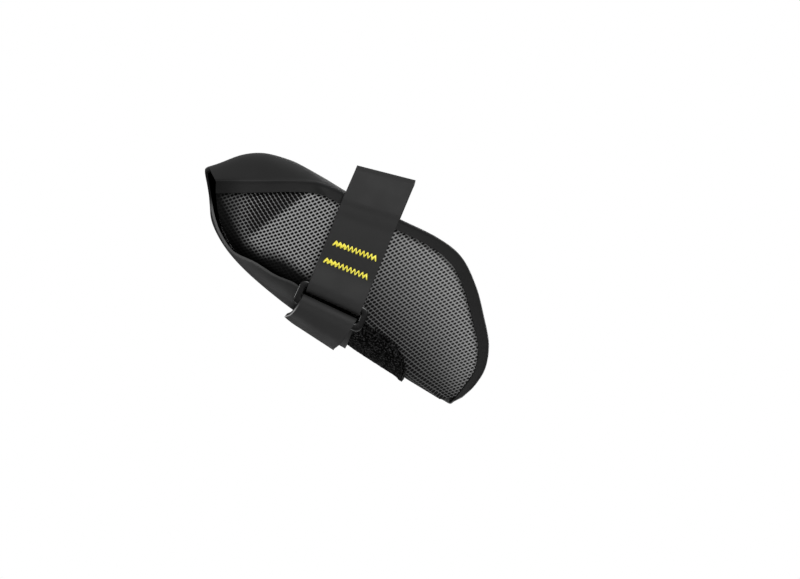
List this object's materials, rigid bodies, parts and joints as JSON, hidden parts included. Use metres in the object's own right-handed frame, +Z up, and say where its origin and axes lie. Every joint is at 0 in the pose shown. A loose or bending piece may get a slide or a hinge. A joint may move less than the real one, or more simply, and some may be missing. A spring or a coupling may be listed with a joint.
{
  "type": "bike tool pack",
  "caption": "Wedge-shaped cloth pouch hung under a bicycle saddle by a webbing strap and ring, with a rear mouth closed by a folded flap and a fuzzy fastening patch round the bottom.",
  "frame": {"origin": "middle of the strap's inner face at the top of the loop that hangs on the rails", "axes": "+X to the front of the pack, +Y away from the ring side, +Z up"},
  "size_m": [0.1299, 0.0709, 0.1148],
  "materials": {
    "grey_weave": "coarse laminated weave, light threads over dark dots",
    "black_coated": "smooth coated cloth with a fine grain",
    "loop_pile": "fuzzy loop pile",
    "webbing": "matt coated webbing",
    "moulded_plastic": "moulded, slightly glossy",
    "thread": "bright sewing thread"
  },
  "bodies": {
    "root": {"pouch_body": "grey_weave", "spine_panel": "black_coated", "rear_flap": "black_coated", "loop_patch": "loop_pile", "strap": "webbing", "strap_ring": "moulded_plastic"}
  },
  "joints": []
}
